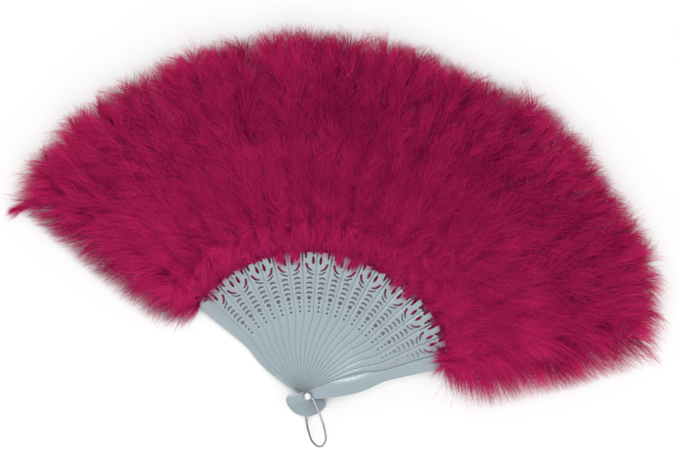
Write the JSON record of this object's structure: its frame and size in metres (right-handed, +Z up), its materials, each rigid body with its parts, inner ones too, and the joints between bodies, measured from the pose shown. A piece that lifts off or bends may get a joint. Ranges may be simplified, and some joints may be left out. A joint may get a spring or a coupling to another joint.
{
  "type": "feather fan",
  "caption": "Folding hand fan with pierced white plastic sticks on one rivet, a fluffy crimson down plume on every stick and a wire hanging bail.",
  "frame": {"origin": "on the rivet's axis, at the flat back face of its head, level with the table under the plumes", "axes": "+Y along the middle of the open fan, +X to the front guard's side, +Z up out of the fan's face along the rivet"},
  "size_m": [0.4974, 0.3081, 0.0398],
  "materials": {
    "stick_plastic": "glossy moulded white with a cool tint",
    "feather_down": "fluffy dyed down, crimson pink",
    "bright_metal": "bright plated wire and rivet"
  },
  "bodies": {
    "held_guard": {"back_guard": "stick_plastic", "plume_back_guard": "feather_down", "rivet": "bright_metal"},
    "leaf_01": {"stick_01": "stick_plastic", "plume_01": "feather_down"},
    "leaf_02": {"stick_02": "stick_plastic", "plume_02": "feather_down"},
    "leaf_03": {"stick_03": "stick_plastic", "plume_03": "feather_down"},
    "leaf_04": {"stick_04": "stick_plastic", "plume_04": "feather_down"},
    "leaf_05": {"stick_05": "stick_plastic", "plume_05": "feather_down"},
    "leaf_06": {"stick_06": "stick_plastic", "plume_06": "feather_down"},
    "leaf_07": {"stick_07": "stick_plastic", "plume_07": "feather_down"},
    "leaf_08": {"stick_08": "stick_plastic", "plume_08": "feather_down"},
    "leaf_09": {"stick_09": "stick_plastic", "plume_09": "feather_down"},
    "leaf_10": {"stick_10": "stick_plastic", "plume_10": "feather_down"},
    "leaf_11": {"stick_11": "stick_plastic", "plume_11": "feather_down"},
    "leaf_12": {"stick_12": "stick_plastic", "plume_12": "feather_down"},
    "leaf_13": {"stick_13": "stick_plastic", "plume_13": "feather_down"},
    "leaf_14": {"stick_14": "stick_plastic", "plume_14": "feather_down"},
    "leaf_15": {"stick_15": "stick_plastic", "plume_15": "feather_down"},
    "leaf_16": {"stick_16": "stick_plastic", "plume_16": "feather_down"},
    "leaf_17": {"stick_17": "stick_plastic", "plume_17": "feather_down"},
    "leaf_18": {"stick_18": "stick_plastic", "plume_18": "feather_down"},
    "leaf_19": {"stick_19": "stick_plastic", "plume_19": "feather_down"},
    "opening_guard": {"front_guard": "stick_plastic", "plume_front_guard": "feather_down"},
    "bail": {"bail": "bright_metal"}
  },
  "joints": [
    {"name": "fold", "type": "hinge", "parent": "held_guard", "child": "opening_guard", "pos_m": [0, 0, 0], "axis": [0, 0, 1], "range_deg": [0, 124], "deforming": ["plume_back_guard", "plume_01", "plume_02", "plume_03", "plume_04", "plume_05", "plume_06", "plume_07", "plume_08", "plume_09", "plume_10", "plume_11", "plume_12", "plume_13", "plume_14", "plume_15", "plume_16", "plume_17", "plume_18", "plume_19", "plume_front_guard"]},
    {"name": "fold_01", "type": "hinge", "parent": "held_guard", "child": "leaf_01", "pos_m": [0, 0, 0], "axis": [0, 0, 1], "range_deg": [0, 6.2]},
    {"name": "fold_02", "type": "hinge", "parent": "held_guard", "child": "leaf_02", "pos_m": [0, 0, 0], "axis": [0, 0, 1], "range_deg": [0, 12.4]},
    {"name": "fold_03", "type": "hinge", "parent": "held_guard", "child": "leaf_03", "pos_m": [0, 0, 0], "axis": [0, 0, 1], "range_deg": [0, 18.6]},
    {"name": "fold_04", "type": "hinge", "parent": "held_guard", "child": "leaf_04", "pos_m": [0, 0, 0], "axis": [0, 0, 1], "range_deg": [0, 24.8]},
    {"name": "fold_05", "type": "hinge", "parent": "held_guard", "child": "leaf_05", "pos_m": [0, 0, 0], "axis": [0, 0, 1], "range_deg": [0, 31]},
    {"name": "fold_06", "type": "hinge", "parent": "held_guard", "child": "leaf_06", "pos_m": [0, 0, 0], "axis": [0, 0, 1], "range_deg": [0, 37.2]},
    {"name": "fold_07", "type": "hinge", "parent": "held_guard", "child": "leaf_07", "pos_m": [0, 0, 0], "axis": [0, 0, 1], "range_deg": [0, 43.4]},
    {"name": "fold_08", "type": "hinge", "parent": "held_guard", "child": "leaf_08", "pos_m": [0, 0, 0], "axis": [0, 0, 1], "range_deg": [0, 49.6]},
    {"name": "fold_09", "type": "hinge", "parent": "held_guard", "child": "leaf_09", "pos_m": [0, 0, 0], "axis": [0, 0, 1], "range_deg": [0, 55.8]},
    {"name": "fold_10", "type": "hinge", "parent": "held_guard", "child": "leaf_10", "pos_m": [0, 0, 0], "axis": [0, 0, 1], "range_deg": [0, 62]},
    {"name": "fold_11", "type": "hinge", "parent": "held_guard", "child": "leaf_11", "pos_m": [0, 0, 0], "axis": [0, 0, 1], "range_deg": [0, 68.2]},
    {"name": "fold_12", "type": "hinge", "parent": "held_guard", "child": "leaf_12", "pos_m": [0, 0, 0], "axis": [0, 0, 1], "range_deg": [0, 74.4]},
    {"name": "fold_13", "type": "hinge", "parent": "held_guard", "child": "leaf_13", "pos_m": [0, 0, 0], "axis": [0, 0, 1], "range_deg": [0, 80.6]},
    {"name": "fold_14", "type": "hinge", "parent": "held_guard", "child": "leaf_14", "pos_m": [0, 0, 0], "axis": [0, 0, 1], "range_deg": [0, 86.8]},
    {"name": "fold_15", "type": "hinge", "parent": "held_guard", "child": "leaf_15", "pos_m": [0, 0, 0], "axis": [0, 0, 1], "range_deg": [0, 93]},
    {"name": "fold_16", "type": "hinge", "parent": "held_guard", "child": "leaf_16", "pos_m": [0, 0, 0], "axis": [0, 0, 1], "range_deg": [0, 99.2]},
    {"name": "fold_17", "type": "hinge", "parent": "held_guard", "child": "leaf_17", "pos_m": [0, 0, 0], "axis": [0, 0, 1], "range_deg": [0, 105.4]},
    {"name": "fold_18", "type": "hinge", "parent": "held_guard", "child": "leaf_18", "pos_m": [0, 0, 0], "axis": [0, 0, 1], "range_deg": [0, 111.6]},
    {"name": "fold_19", "type": "hinge", "parent": "held_guard", "child": "leaf_19", "pos_m": [0, 0, 0], "axis": [0, 0, 1], "range_deg": [0, 117.8]},
    {"name": "bail_swing", "type": "hinge", "parent": "held_guard", "child": "bail", "pos_m": [0, 0, 0], "axis": [0, 0, 1], "range_deg": [-108, 56]}
  ],
  "couplings": [
    {"joint": "fold_01", "follows": "fold", "ratio": 0.05},
    {"joint": "fold_02", "follows": "fold", "ratio": 0.1},
    {"joint": "fold_03", "follows": "fold", "ratio": 0.15},
    {"joint": "fold_04", "follows": "fold", "ratio": 0.2},
    {"joint": "fold_05", "follows": "fold", "ratio": 0.25},
    {"joint": "fold_06", "follows": "fold", "ratio": 0.3},
    {"joint": "fold_07", "follows": "fold", "ratio": 0.35},
    {"joint": "fold_08", "follows": "fold", "ratio": 0.4},
    {"joint": "fold_09", "follows": "fold", "ratio": 0.45},
    {"joint": "fold_10", "follows": "fold", "ratio": 0.5},
    {"joint": "fold_11", "follows": "fold", "ratio": 0.55},
    {"joint": "fold_12", "follows": "fold", "ratio": 0.6},
    {"joint": "fold_13", "follows": "fold", "ratio": 0.65},
    {"joint": "fold_14", "follows": "fold", "ratio": 0.7},
    {"joint": "fold_15", "follows": "fold", "ratio": 0.75},
    {"joint": "fold_16", "follows": "fold", "ratio": 0.8},
    {"joint": "fold_17", "follows": "fold", "ratio": 0.85},
    {"joint": "fold_18", "follows": "fold", "ratio": 0.9},
    {"joint": "fold_19", "follows": "fold", "ratio": 0.95}
  ]
}
